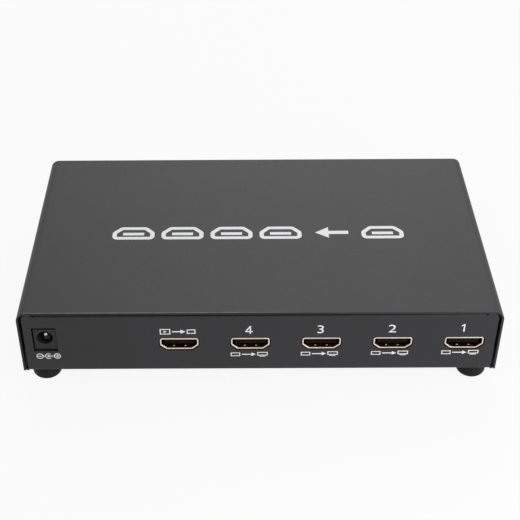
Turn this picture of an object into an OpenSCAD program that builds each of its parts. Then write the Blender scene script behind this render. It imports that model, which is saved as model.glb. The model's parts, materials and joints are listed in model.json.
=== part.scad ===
// Video splitter: one digital video input copied to four outputs, in a casing of folded sheet steel.
// The connector panel faces -Y and the indicator panel +Y. The feet stand on z = 0, under the middle.

/* [Casing] */
// Width of the cover, outside
case_w = 187; // [185:1:205]
// Depth of the cover, from the connector end to the indicator end
case_d = 107; // [104:1:130]
// Height of the casing without its feet
case_h = 30; // [28:0.5:38]
// Thickness of the sheet steel
sheet_t = 0.8; // [0.6:0.1:1]
// Outside radius of the cover's two long folds
cover_fold_r = 3.9; // [2.5:0.1:5]
// Outside radius of the folds in the base
base_fold_r = 1.3; // [1.1:0.1:1.8]
// How far both panels stand back from the cover's edges
panel_recess = 0.3; // [0.1:0.1:0.8]
// Gap between the base's top flanges and the cover's underside
cover_gap = 0.8; // [0.2:0.1:1.2]
// How far the cover's sides end above the casing's underside
side_rise = 0.4; // [0:0.1:0.8]
// Gap between each end of a panel and the cover's side
panel_end_gap = 1.1; // [0.6:0.1:1.6]

/* [Feet] */
// Diameter of a rubber foot
foot_d = 12; // [9:0.1:13]
// Height of the casing above the surface that it stands on
foot_h = 6.8; // [5:0.1:10]
// Distance from a foot's centre to the casing's side
foot_inset_x = 7.9; // [7.5:0.1:20]
// Distance from a foot's centre to the casing's end
foot_inset_y = 7.6; // [7.5:0.1:20]

/* [Video sockets] */
// Distance from one video socket to the next
socket_pitch = 27.74; // [18:0.02:29]
// Centre of the right-hand socket, from the middle of the casing
last_socket_x = 79.7; // [74:0.1:80]
// Width of a socket's opening
socket_w = 14; // [13.9:0.05:14.1]
// Height of a socket's opening
socket_h = 4.55; // [4.5:0.05:4.6]
// Thickness of a socket's metal shell
shell_t = 0.4; // [0.3:0.05:0.5]
// How far a socket's rim lies behind the panel's face
socket_recess = 0.4; // [0.1:0.1:0.8]

/* [Power jack] */
// Centre of the power jack, from the middle of the casing
jack_x = -83.45; // [-83.5:0.05:-74]
// Diameter of the power jack's bore
jack_bore_d = 6.3; // [6:0.1:6.5]
// Diameter of the power jack's centre pin
jack_pin_d = 2; // [1.8:0.1:2.2]
// How far the jack's face lies behind the panel's face
jack_recess = 0.6; // [0.1:0.1:0.8]

/* [Circuit board] */
// Height of the board's upper face above the casing's underside
board_top_h = 11.1; // [9.5:0.1:12]
// Thickness of the board
board_t = 1.6; // [1.2:0.2:2]
// Distance between the indicator lamps of the outputs
lamp_pitch = 12; // [8:1:14]

/* [Hidden] */
$fn = 48;
// How far joined shapes run into each other, and how far cuts run past the faces they cut
eps = 0.1;
over = 1;

// Main planes, in the part's frame
panel_y = case_d / 2 - panel_recess;
panel_h = case_h - sheet_t - cover_gap;
cover_in_x = case_w / 2 - sheet_t;
panel_half_w = cover_in_x - panel_end_gap;
board_z = foot_h + board_top_h;
socket_y = -panel_y + socket_recess;
jack_y = -panel_y + jack_recess;

// Details of the base
ear_w = 3;
ear_lap = 1;
ear_r = 2.6;
ear_gap = 0.1;
top_flange_l = 8;
tray_side_h = 8;
side_flange_gap = 0.3;
side_flange_h = 10;
side_flange_x = cover_in_x - side_flange_gap;
side_fold_x = side_flange_x - base_fold_r;
corner_relief = 0.2;
corner_gap = 0.1;
corner_recess = 0.25;
side_flange_l = 2 * (panel_y - base_fold_r - corner_relief);
cutout_gap = 0.5;
jack_left_gap = 0.5;
jack_right_gap = 0.25;
jack_low_gap = 0.75;
jack_top_gap = 1.2;

// Screws of the cover and the board, M3
screw_r = 1.45;
screw_tap_r = 1.5;
screw_free_r = 1.7;
screw_head_r = 2.8;
screw_head_h = 1.4;
screw_crown_h = 0.8;
screw_crown_r = (screw_head_r ^ 2 + screw_crown_h ^ 2) / (2 * screw_crown_h);
screw_recess_z = 0.5;
screw_recess_l = 2.6;
screw_recess_w = 0.5;
cover_screw_l = 5;
cover_screw_y = 30;
cover_screw_h = 6;
collar_r = 2.5;
collar_l = 1.2;
tap_l = 8;

// Board, its standoffs and its place
board_half_w = panel_half_w - 2.6;
board_y0 = -panel_y + sheet_t + 0.6;
board_y1 = panel_y - 9;
board_corner_r = 1.5;
slot_gap = 0.2;
standoff_x = board_half_w - 9;
standoff_y0 = board_y0 + 22;
standoff_y1 = board_y1 - 5;
standoff_r = 2.9;
standoff_stem_r = 2.05;
standoff_hole_r = 2.1;
standoff_depth = 6;
board_screw_l = 6;

// Feet
foot_taper = 0.15;
foot_round = 1.9;
adhesive_t = 0.3;
adhesive_r = foot_d / 2 - 0.3;

// Video socket
socket_corner_r = 0.55;
socket_base_w = 9.7;
socket_slope_h = 1.8;
shell_l = 10.8;
leg_w = 1.2;
leg_y = [2.2, 8.4];
leg_low = 2;
leg_lap = 1;
finger_x = 2.25;
finger_w = 1.6;
finger_y = [1.2, 5.6];
finger_slot = 0.25;
dimple_r = 0.6;
dimple_y = 1.7;
dimple_rise = 0.3;
tongue_w = 11.9;
tongue_t = 2.05;
tongue_y = 1.2;
block_y = 7.6;
block_gap = 0.03;
contact_w = 0.4;
contact_t = 0.15;
contact_proud = 0.05;
contact_y0 = 1.6;
contact_y1 = shell_l + 0.4;
contact_pitch = 1;
upper_contacts = 10;
lower_contacts = 9;
contact_foot_l = 0.9;
groove_gap = 0.03;
tongue_z0 = shell_t + (socket_h - tongue_t) / 2;
tongue_z1 = tongue_z0 + tongue_t;
upper_contact_z = tongue_z1 + contact_proud - contact_t;
lower_contact_z = tongue_z0 - contact_proud;

// Power jack, measured from its face, its middle and the board
jack_w = 8.7;
jack_l = 14.2;
jack_h = 10.1;
jack_collar_l = 3.5;
jack_shoulder_r = jack_w / 2;
jack_bore_z = 5.9;
jack_bore_l = 9.5;
jack_window_w = 3.4;
jack_window_y = [1.8, 13];
jack_pin_y = 1.5;
jack_pin_gap = 0.02;
jack_stub_r = 0.75;
terminal_w = 2.4;
terminal_t = 0.4;
terminal_low = 2;
spring_w = 2.4;
spring_t = 0.3;
spring_root = [11.2, 1.6];
spring_root_r = 0.45;
spring_crest = [4.6, jack_bore_z - 2.35];
spring_knee = [3.2, 2.3];
spring_tip = [2.5, 2.3];
sleeve_gap = 0.05;
sleeve_y = spring_root[0] + 1;
saddle_l = 1.5;
shunt_y = 2.3;
shunt_w = 0.7;
shunt_t = 0.3;
shunt_x = spring_w / 2 + 0.1;
shunt_gap = 0.1;

// Indicator lamps
lamp_r = 1.5;
lamp_flange_r = 1.9;
lamp_flange_l = 1;
lamp_l = 5.3;
lamp_hole_r = 1.6;
lamp_z = board_z + 4.5;
power_lamp_x = 66;
first_lamp_x = 36;
lamp_x = concat([power_lamp_x], [for (i = [0 : 3]) first_lamp_x - i * lamp_pitch]);
holder_w = 4.6;
holder_l = 4.4;
holder_h = 6.8;
lead_w = 0.5;
lead_gap = 0.05;
lead_spacing = 2.54;
lead_back = 2.6;
lead_low = 2;

// Parts on the board: x and y of each middle
splitter_at = [12, -6];
splitter_size = [14, 14, 1.4];
splitter_pins = 16;
splitter_pitch = 0.8;
controller_at = [-34, 12];
controller_size = [6.5, 4.4, 1];
controller_pins = 10;
controller_pitch = 0.65;
memory_at = [-30, -20];
memory_size = [4.9, 3.9, 1.45];
memory_pins = 4;
memory_pitch = 1.27;
chip_rise = 0.1;
pin_mark_r = 0.4;
pin_mark_inset = 1;
pin_mark_depth = 0.1;
lead_share = 0.4;
lead_out = 0.4;
lead_slope = 0.3;
lead_reach = 1.1;
lead_t = 0.15;
lead_foot = 0.5;
regulator_at = [-62, -22];
regulator_size = [6.6, 6.1, 2.2];
regulator_tab_t = 0.5;
regulator_tab_reach = 1;
regulator_tab_inset = 0.5;
inductor_at = [-62, 2];
inductor_size = [10, 10, 4];
inductor_chamfer = 1.6;
capacitor_at = [[-46, -26], [-46, 2], [-74, 12]];
capacitor_r = 3.1;
capacitor_h = 7.2;
capacitor_base = [6.6, 6.6, 1.2];
crystal_at = [-14, 14];
crystal_l = 11;
crystal_w = 4.6;
crystal_h = 3.4;
surge_size = [2.5, 1, 0.5];
surge_x = 3.2;
surge_y = socket_y + 15.5;
resistor_size = [1.6, 0.8, 0.45];
resistor_y = socket_y + 19;
resistor_pitch = 2.56;
ceramic_size = [1.25, 2, 0.85];
ceramic_ring = 13;
ceramic_pitch = 2.4;

SOCKETS = ["output_1", "output_2", "output_3", "output_4", "input"];
FEET = ["foot_rear_left", "foot_rear_right", "foot_front_left", "foot_front_right"];
LAMPS = ["power_lamp", "output_1_lamp", "output_2_lamp", "output_3_lamp", "output_4_lamp"];

// Places that repeat
function socket_x(i) = last_socket_x - i * socket_pitch;
function foot_place(i) = [
    (i % 2 == 0 ? -1 : 1) * (case_w / 2 - foot_inset_x),
    (i < 2 ? -1 : 1) * (case_d / 2 - foot_inset_y)
];
function standoff_places() = [for (x = [-standoff_x, standoff_x], y = [standoff_y0, standoff_y1]) [x, y]];

// Extrudes an outline drawn across the casing's end (x, z), centred along Y
module lengthwise(len) {
    rotate([90, 0, 0]) translate([0, 0, -len / 2]) linear_extrude(len) children();
}

// Extrudes an outline drawn across the casing's end (x, z), from y = 0 inwards
module inwards(len) {
    rotate([90, 0, 0]) translate([0, 0, -len]) linear_extrude(len) children();
}

// Extrudes an outline drawn on the casing's side (y, z), centred along X
module across(len) {
    rotate([90, 0, 90]) translate([0, 0, -len / 2]) linear_extrude(len) children();
}

// Rectangle with four round corners, standing on the line y = 0
module rounded_rect(w, h, r) {
    translate([-w / 2, r]) square([w, h - 2 * r]);
    translate([-w / 2 + r, 0]) square([w - 2 * r, h]);
    for (x = [-1, 1], y = [r, h - r]) translate([x * (w / 2 - r), y]) circle(r);
}

// Upright shape with two round top corners
module arch(w, h, r) {
    translate([-w / 2, 0]) square([w, h - r]);
    translate([-w / 2 + r, 0]) square([w - 2 * r, h]);
    for (side = [-1, 1]) translate([side * (w / 2 - r), h - r]) circle(r);
}

// Box centred in x and y, standing on z = 0
module block(size) {
    translate([-size[0] / 2, -size[1] / 2, 0]) cube(size);
}

// Screw with a domed head and a cross recess: the head's seat is at z = 0 and the shank runs down
module pan_screw(len) {
    difference() {
        union() {
            intersection() {
                cylinder(r = screw_head_r, h = screw_head_h);
                translate([0, 0, screw_head_h - screw_crown_r]) sphere(screw_crown_r);
            }
            translate([0, 0, -len]) cylinder(r = screw_r, h = len + eps);
        }
        for (turn = [0, 90]) rotate(turn)
            translate([0, 0, screw_recess_z]) block([screw_recess_l, screw_recess_w, screw_head_h]);
    }
}

// Places a piece at each of the cover's screws, with its z axis pointing out of the side
module at_cover_screws() {
    for (side = [-1, 1], y = [-cover_screw_y, cover_screw_y])
        translate([side * case_w / 2, y, foot_h + cover_screw_h]) rotate([0, side * 90, 0]) children();
}

// Socket opening with cut-off lower corners, grown on all sides, above the board
module socket_outline(grow) {
    translate([0, shell_t]) offset(r = socket_corner_r + grow) offset(delta = -socket_corner_r) polygon([
        [-socket_w / 2, socket_h],
        [-socket_w / 2, socket_slope_h],
        [-socket_base_w / 2, 0],
        [socket_base_w / 2, 0],
        [socket_w / 2, socket_slope_h],
        [socket_w / 2, socket_h]
    ]);
}

// Moves a piece to a video socket's place on the board, with y = 0 at its rim
module at_socket(i) {
    translate([socket_x(i), socket_y, board_z]) children();
}

// Moves a piece to the power jack's place on the board, with y = 0 at its face
module at_jack() {
    translate([jack_x, jack_y, board_z]) children();
}

// Closed section of the base: floor, two panels and their top flanges
module channel_section() {
    difference() {
        rounded_rect(2 * panel_y, panel_h, base_fold_r);
        translate([0, sheet_t])
            rounded_rect(2 * (panel_y - sheet_t), panel_h - 2 * sheet_t, base_fold_r - sheet_t);
        translate([-panel_y + top_flange_l, panel_h / 2]) square([2 * (panel_y - top_flange_l), panel_h]);
    }
}

// Lower part of that section, which runs on to the folds at the sides
module tray_section() {
    intersection() {
        channel_section();
        translate([-panel_y, 0]) square([2 * panel_y, tray_side_h]);
    }
}

// Flat end of a panel beyond its top flange, with a round upper corner
module ear_outline() {
    ear_x = panel_half_w - ear_w - ear_lap;
    ear_h = case_h - sheet_t - ear_gap;
    translate([ear_x, base_fold_r]) square([panel_half_w - ear_x, ear_h - ear_r - base_fold_r]);
    translate([ear_x, base_fold_r]) square([panel_half_w - ear_x - ear_r, ear_h - base_fold_r]);
    translate([panel_half_w - ear_r, ear_h - ear_r]) circle(ear_r);
}

// Fold of each panel at the floor, which runs on to the panel's ends
module end_fold_section() {
    intersection() {
        tray_section();
        for (y = [-panel_y, panel_y - base_fold_r]) translate([y, 0]) square([base_fold_r, tray_side_h]);
    }
}

// Flat corner of the floor, which closes the foot of the gap between a panel's end and the cover
module floor_corner() {
    tab_w = panel_end_gap - corner_gap;
    tab_l = base_fold_r + corner_relief + eps - corner_recess;
    translate([panel_half_w - eps, -panel_y + corner_recess, 0]) cube([tab_w + eps, tab_l, sheet_t]);
}

// Edge of the floor folded up inside the cover's side
module side_flange_section() {
    translate([panel_half_w - ear_w, 0]) square([side_fold_x - panel_half_w + ear_w, sheet_t]);
    translate([side_flange_x - sheet_t, base_fold_r]) square([sheet_t, side_flange_h - base_fold_r]);
    intersection() {
        translate([side_fold_x, base_fold_r]) difference() {
            circle(base_fold_r);
            circle(base_fold_r - sheet_t);
        }
        translate([side_fold_x, 0]) square(base_fold_r);
    }
}

// Folded sheet of the base, before any holes
module base_sheet() {
    translate([0, 0, foot_h]) {
        across(2 * (panel_half_w - ear_w)) channel_section();
        across(2 * side_fold_x) tray_section();
        across(2 * panel_half_w) end_fold_section();
        for (side = [0, 1]) mirror([side, 0, 0]) {
            lengthwise(side_flange_l) side_flange_section();
            for (y = [-panel_y, panel_y - sheet_t]) translate([0, y, 0]) inwards(sheet_t) ear_outline();
            for (end = [0, 1]) mirror([0, end, 0]) floor_corner();
        }
    }
    // Drawn collars that the cover's screws are threaded into
    at_cover_screws() translate([0, 0, -sheet_t - side_flange_gap - sheet_t - collar_l])
        cylinder(r = collar_r, h = collar_l + sheet_t / 2);
}

module base_chassis() {
    color("#3c3c3e") difference() {
        base_sheet();
        for (i = [0 : len(SOCKETS) - 1]) translate([socket_x(i), -panel_y - over, board_z])
            inwards(sheet_t + 2 * over) socket_outline(shell_t + cutout_gap);
        translate([jack_x - jack_w / 2 - jack_left_gap, -panel_y - over, board_z - jack_low_gap]) cube([
            jack_w + jack_left_gap + jack_right_gap,
            sheet_t + 2 * over,
            jack_h + jack_low_gap + jack_top_gap
        ]);
        for (x = lamp_x) translate([x, panel_y - sheet_t - over, lamp_z]) rotate([-90, 0, 0])
            cylinder(r = lamp_hole_r, h = sheet_t + 2 * over);
        at_cover_screws() translate([0, 0, -tap_l]) cylinder(r = screw_tap_r, h = tap_l + over);
        for (p = standoff_places()) translate([p[0], p[1], foot_h - over])
            cylinder(r = standoff_hole_r, h = sheet_t + 2 * over);
    }
}

module top_cover() {
    color("#4c4c4f") difference() {
        translate([0, 0, foot_h + side_rise]) lengthwise(case_d) difference() {
            arch(case_w, case_h - side_rise, cover_fold_r);
            translate([0, -over])
                arch(2 * cover_in_x, case_h - side_rise - sheet_t + over, cover_fold_r - sheet_t);
        }
        at_cover_screws() translate([0, 0, -sheet_t - over])
            cylinder(r = screw_free_r, h = sheet_t + 2 * over);
    }
}

module cover_screws() {
    color("#2a2a2c") at_cover_screws() pan_screw(cover_screw_l);
}

// Moulded foot: a slightly tapered stub whose lower edge is rounded to a flat sole
module foot(i) {
    top_r = foot_d / 2;
    low_r = top_r - foot_taper;
    round_x = low_r - foot_round;
    color("#1c1c1d") translate(foot_place(i)) rotate_extrude() polygon(concat(
        [[0, 0]],
        [for (a = [-90 : 10 : 0]) [round_x + foot_round * cos(a), foot_round + foot_round * sin(a)]],
        [[top_r, foot_h - adhesive_t], [0, foot_h - adhesive_t]]
    ));
}

module foot_adhesive_discs() {
    color("#d8d2c0") for (i = [0 : len(FEET) - 1])
        translate(foot_place(i)) translate([0, 0, foot_h - adhesive_t])
            cylinder(r = adhesive_r, h = adhesive_t);
}

module main_board() {
    color("#1d5a35") difference() {
        translate([0, 0, board_z - board_t]) linear_extrude(board_t) offset(r = board_corner_r)
            offset(delta = -board_corner_r)
                translate([-board_half_w, board_y0]) square([2 * board_half_w, board_y1 - board_y0]);
        for (p = standoff_places()) translate([p[0], p[1], board_z - board_t - over])
            cylinder(r = screw_free_r, h = board_t + 2 * over);
        for (i = [0 : len(SOCKETS) - 1]) at_socket(i) socket_legs(slot_gap);
        at_jack() jack_terminal_feet(slot_gap);
        at_lamps() lamp_lead_feet(slot_gap);
    }
}

module board_standoffs() {
    stem_h = board_top_h - board_t - sheet_t;
    color("#b59a52") for (p = standoff_places()) translate([p[0], p[1], foot_h + sheet_t]) difference() {
        union() {
            cylinder(r = standoff_r, h = stem_h, $fn = 6);
            translate([0, 0, -sheet_t]) cylinder(r = standoff_stem_r, h = sheet_t + eps);
        }
        translate([0, 0, stem_h - standoff_depth]) cylinder(r = screw_tap_r, h = standoff_depth + over);
    }
}

module board_screws() {
    color("#b8b8ba") for (p = standoff_places()) translate([p[0], p[1], board_z]) pan_screw(board_screw_l);
}

// Four legs that hold a socket's shell in the board, grown for the slots that take them
module socket_legs(grow) {
    for (side = [-1, 1], y = leg_y)
        translate([side * (socket_w + shell_t) / 2 - shell_t / 2 - grow, y - grow, -leg_low - grow])
            cube([shell_t + 2 * grow, leg_w + 2 * grow, leg_low + shell_t + socket_slope_h + leg_lap]);
}

// U-shaped slot around a spring finger in the shell's wall
module finger_slot() {
    difference() {
        translate([-finger_w / 2 - finger_slot, finger_y[0] - finger_slot, -over])
            cube([finger_w + 2 * finger_slot, finger_y[1] - finger_y[0] + finger_slot, 2 * over]);
        translate([-finger_w / 2, finger_y[0], -2 * over]) cube([finger_w, shell_l, 4 * over]);
    }
}

// Plated shell: a folded tube with two spring fingers above and two below
module socket_shell() {
    color("#d8b46a") {
        difference() {
            inwards(shell_l) socket_outline(shell_t);
            translate([0, -over, 0]) inwards(shell_l + 2 * over) socket_outline(0);
            for (x = [-finger_x, finger_x], z = [shell_t / 2, shell_t * 1.5 + socket_h])
                translate([x, 0, z]) finger_slot();
        }
        socket_legs(0);
        for (x = [-finger_x, finger_x]) finger_dimple(x);
    }
}

// Round bump on a lower spring finger, cut level with the finger's underside
module finger_dimple(x) {
    intersection() {
        translate([x, dimple_y, shell_t + dimple_rise - dimple_r]) sphere(dimple_r);
        translate([x, dimple_y, shell_t / 2]) block([2 * dimple_r, 2 * dimple_r, socket_h]);
    }
}

// Places the contacts of both rows, one on each face of the tongue and half a pitch apart
module at_contacts() {
    for (i = [0 : upper_contacts - 1])
        translate([(i - (upper_contacts - 1) / 2) * contact_pitch, 0, upper_contact_z]) children(0);
    for (i = [0 : lower_contacts - 1])
        translate([(i - (lower_contacts - 1) / 2) * contact_pitch, 0, lower_contact_z]) children(1);
}

module socket_insulator() {
    groove = [contact_w + 2 * groove_gap, shell_l + over, contact_t + 2 * groove_gap];
    color("#161616") difference() {
        union() {
            translate([0, block_y, 0]) inwards(shell_l - block_y) socket_outline(-block_gap);
            translate([-tongue_w / 2, tongue_y, tongue_z0])
                cube([tongue_w, block_y - tongue_y + eps, tongue_t]);
        }
        at_contacts() {
            translate([-groove[0] / 2, contact_y0 - groove_gap, -groove_gap]) cube(groove);
            translate([-groove[0] / 2, contact_y0 - groove_gap, -groove_gap]) cube(groove);
        }
    }
}

// One contact: a blade on the tongue, a leg down behind the block and a foot on the board
module socket_contact(drop) {
    translate([-contact_w / 2, 0, 0]) {
        translate([0, contact_y0, 0]) cube([contact_w, contact_y1 - contact_y0 + contact_t, contact_t]);
        translate([0, contact_y1, -drop]) cube([contact_w, contact_t, drop + contact_t]);
        translate([0, contact_y1, -drop]) cube([contact_w, contact_foot_l, contact_t]);
    }
}

module socket_contacts() {
    color("#cfae6b") at_contacts() {
        socket_contact(upper_contact_z);
        socket_contact(lower_contact_z);
    }
}

module power_jack_body() {
    color("#222223") at_jack() difference() {
        union() {
            translate([-jack_w / 2, 0, 0]) cube([jack_w, jack_collar_l, jack_h]);
            translate([-jack_w / 2, 0, 0]) cube([jack_w, jack_l, jack_h - jack_shoulder_r]);
            translate([0, 0, jack_h - jack_shoulder_r]) rotate([-90, 0, 0])
                cylinder(r = jack_shoulder_r, h = jack_l);
        }
        translate([0, -over, jack_bore_z]) rotate([-90, 0, 0])
            cylinder(r = jack_bore_d / 2, h = jack_bore_l + over);
        translate([0, 0, jack_bore_z]) rotate([-90, 0, 0])
            cylinder(r = jack_stub_r + jack_pin_gap, h = jack_l + over);
        translate([-jack_window_w / 2, jack_window_y[0], -over])
            cube([jack_window_w, jack_window_y[1] - jack_window_y[0], jack_bore_z - jack_pin_d + over]);
    }
}

// Terminals of the jack where they pass through the board: pin, sleeve and shunt
module jack_terminal_feet(grow) {
    depth = terminal_low + grow + eps;
    for (y = [jack_l, sleeve_y]) translate([-terminal_w / 2 - grow, y - grow, -terminal_low - grow])
        cube([terminal_w + 2 * grow, terminal_t + 2 * grow, depth]);
    translate([shunt_x - grow, shunt_y - grow, -terminal_low - grow])
        cube([shunt_t + 2 * grow, shunt_w + 2 * grow, depth]);
}

module power_jack_pin() {
    r = jack_pin_d / 2;
    color("#c9c9c6") at_jack() {
        translate([0, jack_pin_y + r, jack_bore_z]) rotate([-90, 0, 0]) {
            sphere(r);
            cylinder(r = r, h = jack_bore_l - jack_pin_y - r);
            cylinder(r = jack_stub_r, h = jack_l + terminal_t - jack_pin_y - r);
        }
        translate([-terminal_w / 2, jack_l, -terminal_low])
            cube([terminal_w, terminal_t, terminal_low + jack_bore_z + terminal_w / 2]);
    }
}

// Leaf spring that presses on the plug's sleeve, rolled round its pivot at the root
module power_jack_spring() {
    line = [spring_root, spring_crest, spring_knee, spring_tip];
    half = [0, spring_t / 2];
    color("#d0cfc8") at_jack() across(spring_w) {
        translate(spring_root) circle(spring_root_r);
        polygon(concat([for (p = line) p + half], [for (i = [len(line) - 1 : -1 : 0]) line[i] - half]));
    }
}

// Saddle that carries the spring's rolled root, with a leg through the board
module power_jack_sleeve_terminal() {
    saddle_z = spring_root[1] - spring_root_r - sleeve_gap - terminal_t;
    color("#c9c9c6") at_jack() {
        translate([-terminal_w / 2, sleeve_y, -terminal_low])
            cube([terminal_w, terminal_t, terminal_low + spring_root[1]]);
        translate([-terminal_w / 2, sleeve_y - saddle_l, saddle_z])
            cube([terminal_w, saddle_l + eps, terminal_t]);
    }
}

// Fixed contact that the spring's tip rests against until a plug pushes it down
module power_jack_shunt_terminal() {
    hook_z = spring_tip[1] + spring_t / 2 + shunt_gap;
    color("#c9c9c6") at_jack() {
        translate([shunt_x, shunt_y, -terminal_low])
            cube([shunt_t, shunt_w, terminal_low + hook_z + shunt_t]);
        translate([shunt_x - spring_w / 2, shunt_y, hook_z])
            cube([spring_w / 2 + shunt_t, shunt_w, shunt_t]);
    }
}

// Package body with a pin-one dimple, just above the board
module chip_body(size) {
    color("#1b1b1c") translate([0, 0, chip_rise]) difference() {
        block(size);
        translate([pin_mark_inset - size[0] / 2, pin_mark_inset - size[1] / 2, size[2] - pin_mark_depth])
            cylinder(r = pin_mark_r, h = over);
    }
}

// Bent lead seen from its side: out of the body, down and along the board
module gull_lead(h, w) {
    rotate([90, 0, 90]) translate([0, 0, -w / 2]) linear_extrude(w) polygon([
        [0, h],
        [lead_out, h],
        [lead_out + lead_slope, lead_t],
        [lead_reach, lead_t],
        [lead_reach, 0],
        [lead_reach - lead_foot, 0],
        [lead_out - lead_t, h - lead_t],
        [0, h - lead_t]
    ]);
}

// Rows of leads along the given sides of a package; turns of 0 and 180 are its two y faces
module chip_leads(size, pins, pitch, turns) {
    color("#c4c4c6") for (turn = turns, i = [0 : pins - 1]) rotate(turn)
        translate([(i - (pins - 1) / 2) * pitch, size[1] / 2, 0])
            gull_lead(chip_rise + size[2] / 2, pitch * lead_share);
}

module on_board(at) {
    translate([at[0], at[1], board_z]) children();
}

module splitter_chip() {
    on_board(splitter_at) chip_body(splitter_size);
}

module splitter_chip_leads() {
    on_board(splitter_at) chip_leads(splitter_size, splitter_pins, splitter_pitch, [0, 90, 180, 270]);
}

module controller_chip() {
    on_board(controller_at) chip_body(controller_size);
}

module controller_chip_leads() {
    on_board(controller_at) chip_leads(controller_size, controller_pins, controller_pitch, [0, 180]);
}

module memory_chip() {
    on_board(memory_at) chip_body(memory_size);
}

module memory_chip_leads() {
    on_board(memory_at) chip_leads(memory_size, memory_pins, memory_pitch, [0, 180]);
}

module regulator_body() {
    on_board(regulator_at) translate([0, 0, regulator_tab_t - chip_rise]) chip_body(regulator_size);
}

module regulator_tab() {
    tab_w = regulator_size[0] - 2 * regulator_tab_inset;
    tab_l = regulator_size[1] + 2 * regulator_tab_reach;
    color("#c4c4c6") on_board(regulator_at) translate([0, regulator_tab_reach, 0])
        block([tab_w, tab_l, regulator_tab_t]);
}

module power_inductor() {
    half = [inductor_size[0] / 2, inductor_size[1] / 2];
    color("#4a4a4c") on_board(inductor_at) linear_extrude(inductor_size[2]) intersection() {
        square([inductor_size[0], inductor_size[1]], center = true);
        rotate(45) square((half[0] + half[1] - inductor_chamfer) * sqrt(2), center = true);
    }
}

module capacitor_cans() {
    color("#c8c8ca") for (p = capacitor_at) on_board(p) translate([0, 0, capacitor_base[2]])
        cylinder(r = capacitor_r, h = capacitor_h);
}

module capacitor_bases() {
    color("#1b1b1c") for (p = capacitor_at) on_board(p) block(capacitor_base);
}

module crystal_can() {
    color("#c8c8ca") on_board(crystal_at) linear_extrude(crystal_h) {
        square([crystal_l - crystal_w, crystal_w], center = true);
        for (side = [-1, 1]) translate([side * (crystal_l - crystal_w) / 2, 0]) circle(crystal_w / 2);
    }
}

module surge_arrays() {
    color("#1b1b1c") for (i = [0 : len(SOCKETS) - 1], side = [-1, 1])
        on_board([socket_x(i) + side * surge_x, surge_y]) block(surge_size);
}

module chip_resistors() {
    color("#26262a") for (i = [0 : len(SOCKETS) - 1], k = [-1.5 : 1.5])
        on_board([socket_x(i) + k * resistor_pitch, resistor_y]) block(resistor_size);
}

module chip_capacitors() {
    color("#a98f6a") on_board(splitter_at) for (k = [-2 : 2], turn = [0, 90, 180, 270])
        rotate(turn) translate([k * ceramic_pitch, ceramic_ring, 0]) block(ceramic_size);
}

// Moves a piece to each lamp, or to the one that is named, with y = 0 at the tip of its lens
module at_lamps(which = [0 : len(LAMPS) - 1]) {
    for (i = which) translate([lamp_x[i], case_d / 2, lamp_z]) children();
}

module lamp(i) {
    color(i == 0 ? "#c23a2e" : "#3f9a4a") at_lamps([i]) rotate([90, 0, 0]) {
        translate([0, 0, lamp_r]) sphere(lamp_r);
        translate([0, 0, lamp_r]) cylinder(r = lamp_r, h = lamp_l - lamp_r);
        translate([0, 0, lamp_l - lamp_flange_l]) cylinder(r = lamp_flange_r, h = lamp_flange_l);
    }
}

// Two wires of a lamp: back from its flange, then down to the board
module lamp_lead_pair(grow) {
    wire = lead_w + 2 * grow;
    bend_y = -lamp_l - lead_back - grow;
    for (x = [-lead_spacing / 2, lead_spacing / 2]) translate([x - wire / 2, bend_y, -wire / 2]) {
        cube([wire, lead_back + grow, wire]);
        translate([0, 0, board_z - lamp_z]) cube([wire, wire, lamp_z - board_z + wire]);
    }
}

// Ends of those wires where they pass through the board
module lamp_lead_feet(grow) {
    wire = lead_w + 2 * grow;
    bend_y = -lamp_l - lead_back - grow;
    for (x = [-lead_spacing / 2, lead_spacing / 2])
        translate([x - wire / 2, bend_y, board_z - lamp_z - lead_low]) cube([wire, wire, lead_low + eps]);
}

module lamp_leads() {
    color("#c4c4c6") at_lamps() {
        lamp_lead_pair(0);
        lamp_lead_feet(0);
    }
}

module lamp_holders() {
    color("#1b1b1c") at_lamps() difference() {
        translate([-holder_w / 2, -lamp_l - holder_l, board_z - lamp_z])
            cube([holder_w, holder_l, holder_h]);
        lamp_lead_pair(lead_gap);
    }
}

base_chassis();
top_cover();
cover_screws();
for (i = [0 : len(FEET) - 1])
    foot(i);
foot_adhesive_discs();
main_board();
board_standoffs();
board_screws();
for (i = [0 : len(SOCKETS) - 1]) {
    at_socket(i) socket_shell();
    at_socket(i) socket_insulator();
    at_socket(i) socket_contacts();
}
power_jack_body();
power_jack_pin();
power_jack_spring();
power_jack_sleeve_terminal();
power_jack_shunt_terminal();
splitter_chip();
splitter_chip_leads();
controller_chip();
controller_chip_leads();
memory_chip();
memory_chip_leads();
regulator_body();
regulator_tab();
power_inductor();
capacitor_cans();
capacitor_bases();
crystal_can();
surge_arrays();
chip_resistors();
chip_capacitors();
for (i = [0 : len(LAMPS) - 1])
    lamp(i);
lamp_holders();
lamp_leads();
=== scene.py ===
"""Looks of the video splitter: its finishes, edges and print, the light and the camera."""
import json
import math

import bmesh
import bpy
from mathutils import Matrix, Vector

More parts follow.
